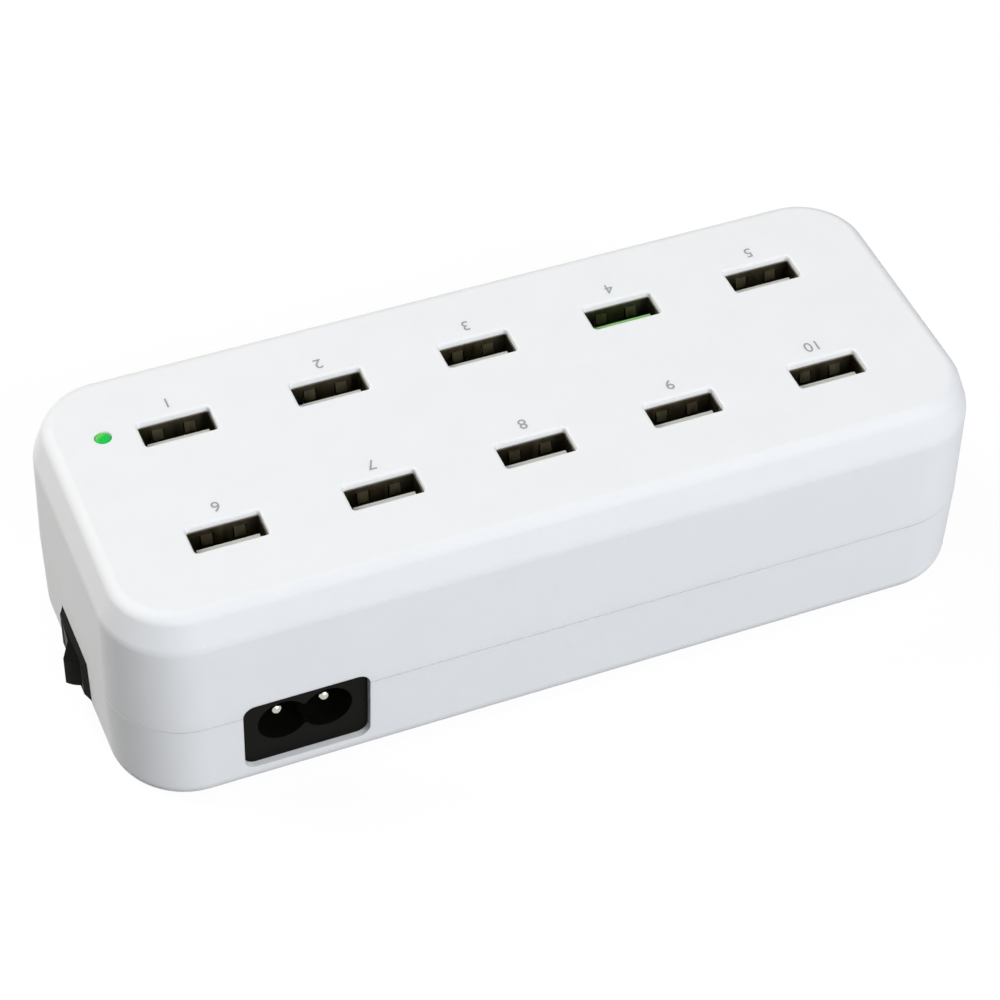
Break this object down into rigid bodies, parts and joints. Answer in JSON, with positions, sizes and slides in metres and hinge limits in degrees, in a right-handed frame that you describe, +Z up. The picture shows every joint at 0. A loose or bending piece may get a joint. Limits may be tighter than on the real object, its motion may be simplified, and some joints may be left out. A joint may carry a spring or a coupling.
{
  "type": "multi port usb charger",
  "caption": "Rounded white desktop charger with rows of upright usb sockets on top, a figure-eight mains inlet on one long side, a rocker switch on one end and a green status light.",
  "frame": {"origin": "centre of the case's plan, on the flat base", "axes": "+X along the long side away from the switch, -Y towards the inlet side, +Z up through the sockets"},
  "size_m": [0.163, 0.064, 0.044],
  "materials": {
    "case_white": "fine matte moulding",
    "black_plastic": "satin moulding",
    "socket_steel": "plain sheet",
    "tongue_white": "moulded",
    "tongue_green": "moulded",
    "contact_brass": "plated",
    "pin_nickel": "bright plated",
    "board_green": "solder mask",
    "screw_steel": "zinc plated",
    "led_green": "clear tinted",
    "ferrite": "sintered",
    "tape_yellow": "wound tape",
    "capacitor_can": "sleeved can",
    "sink_aluminium": "mill finish",
    "capacitor_box": "moulded box",
    "chip_black": "moulded",
    "fuse_body": "sleeved",
    "wire_cover": "insulated"
  },
  "bodies": {
    "case": {"top_cover": "case_white", "bottom_cover": "case_white", "case_screws": "screw_steel", "port_board": "board_green", "port_board_screws": "screw_steel", "usb_shell_1": "socket_steel", "usb_tongue_1": "tongue_white", "usb_contacts_1": "contact_brass", "usb_shell_2": "socket_steel", "usb_tongue_2": "tongue_white", "usb_contacts_2": "contact_brass", "usb_shell_3": "socket_steel", "usb_tongue_3": "tongue_white", "usb_contacts_3": "contact_brass", "usb_shell_4": "socket_steel", "usb_tongue_4": "tongue_green", "usb_contacts_4": "contact_brass", "usb_shell_5": "socket_steel", "usb_tongue_5": "tongue_white", "usb_contacts_5": "contact_brass", "usb_shell_6": "socket_steel", "usb_tongue_6": "tongue_white", "usb_contacts_6": "contact_brass", "usb_shell_7": "socket_steel", "usb_tongue_7": "tongue_white", "usb_contacts_7": "contact_brass", "usb_shell_8": "socket_steel", "usb_tongue_8": "tongue_white", "usb_contacts_8": "contact_brass", "usb_shell_9": "socket_steel", "usb_tongue_9": "tongue_white", "usb_contacts_9": "contact_brass", "usb_shell_10": "socket_steel", "usb_tongue_10": "tongue_white", "usb_contacts_10": "contact_brass", "status_led": "led_green", "led_leads": "screw_steel", "inlet_housing": "black_plastic", "inlet_pins": "pin_nickel", "switch_housing": "black_plastic", "switch_terminals": "contact_brass", "power_board": "board_green", "power_board_screws": "screw_steel", "fuse": "fuse_body", "box_capacitor": "capacitor_box", "choke": "ferrite", "bridge_rectifier": "chip_black", "bulk_capacitor": "capacitor_can", "transformer_core": "ferrite", "transformer_winding": "tape_yellow", "heat_sink": "sink_aluminium", "power_transistor": "chip_black", "output_rectifier": "chip_black", "output_capacitor_1": "capacitor_can", "output_capacitor_2": "capacitor_can", "output_wires": "wire_cover", "mains_wires": "wire_cover"},
    "rocker": {"switch_rocker": "black_plastic", "switch_bridge": "contact_brass"}
  },
  "joints": [
    {"name": "switch_turn", "type": "hinge", "parent": "case", "child": "rocker", "pos_m": [-0.07908, 0.00045, 0.00885], "axis": [0, 0, 1], "range_deg": [0, 32]}
  ]
}
